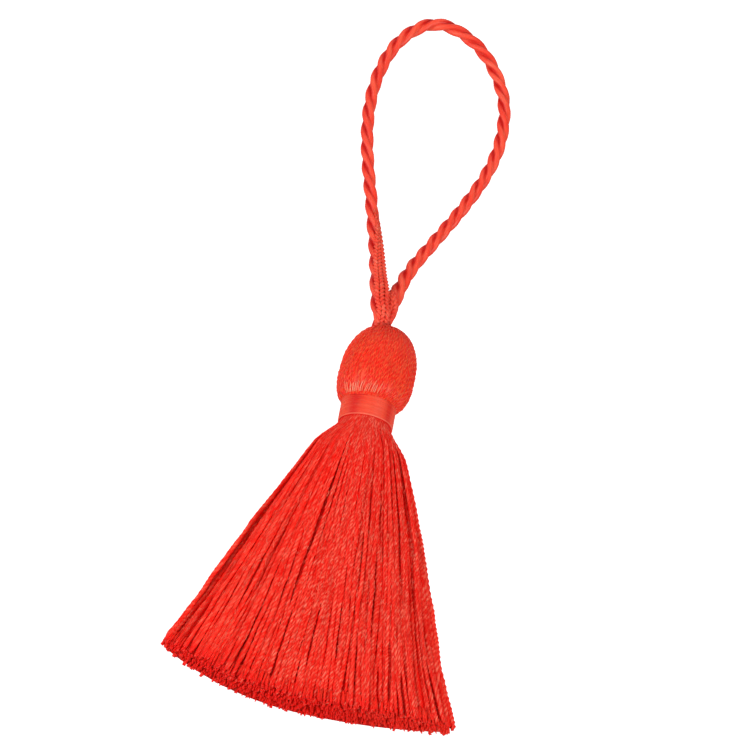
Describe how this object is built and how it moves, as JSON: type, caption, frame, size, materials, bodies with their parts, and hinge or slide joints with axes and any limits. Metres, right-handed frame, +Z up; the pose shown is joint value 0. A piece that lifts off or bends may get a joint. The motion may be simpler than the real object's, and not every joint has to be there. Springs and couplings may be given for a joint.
{
  "type": "cotton tassel",
  "caption": "Cotton tassel lying flat: round yarn head, wound binding, fanned skirt of cut strands and a twisted cord hanging loop.",
  "frame": {"origin": "on the surface that the tassel lies on, under the widest part of its head", "axes": "+Y along the tassel from the skirt towards the hanging loop, +X to the right seen from above, +Z up"},
  "size_m": [0.0571, 0.1499, 0.0141],
  "materials": {
    "head_yarn": "silky twisted cotton yarn",
    "binding_thread": "satin wound thread",
    "skirt_yarn": "silky twisted cotton yarn",
    "twisted_cord": "soft three-ply twisted cord"
  },
  "bodies": {
    "root": {"head": "head_yarn", "binding": "binding_thread", "skirt": "skirt_yarn", "hanging_loop": "twisted_cord"}
  },
  "joints": []
}
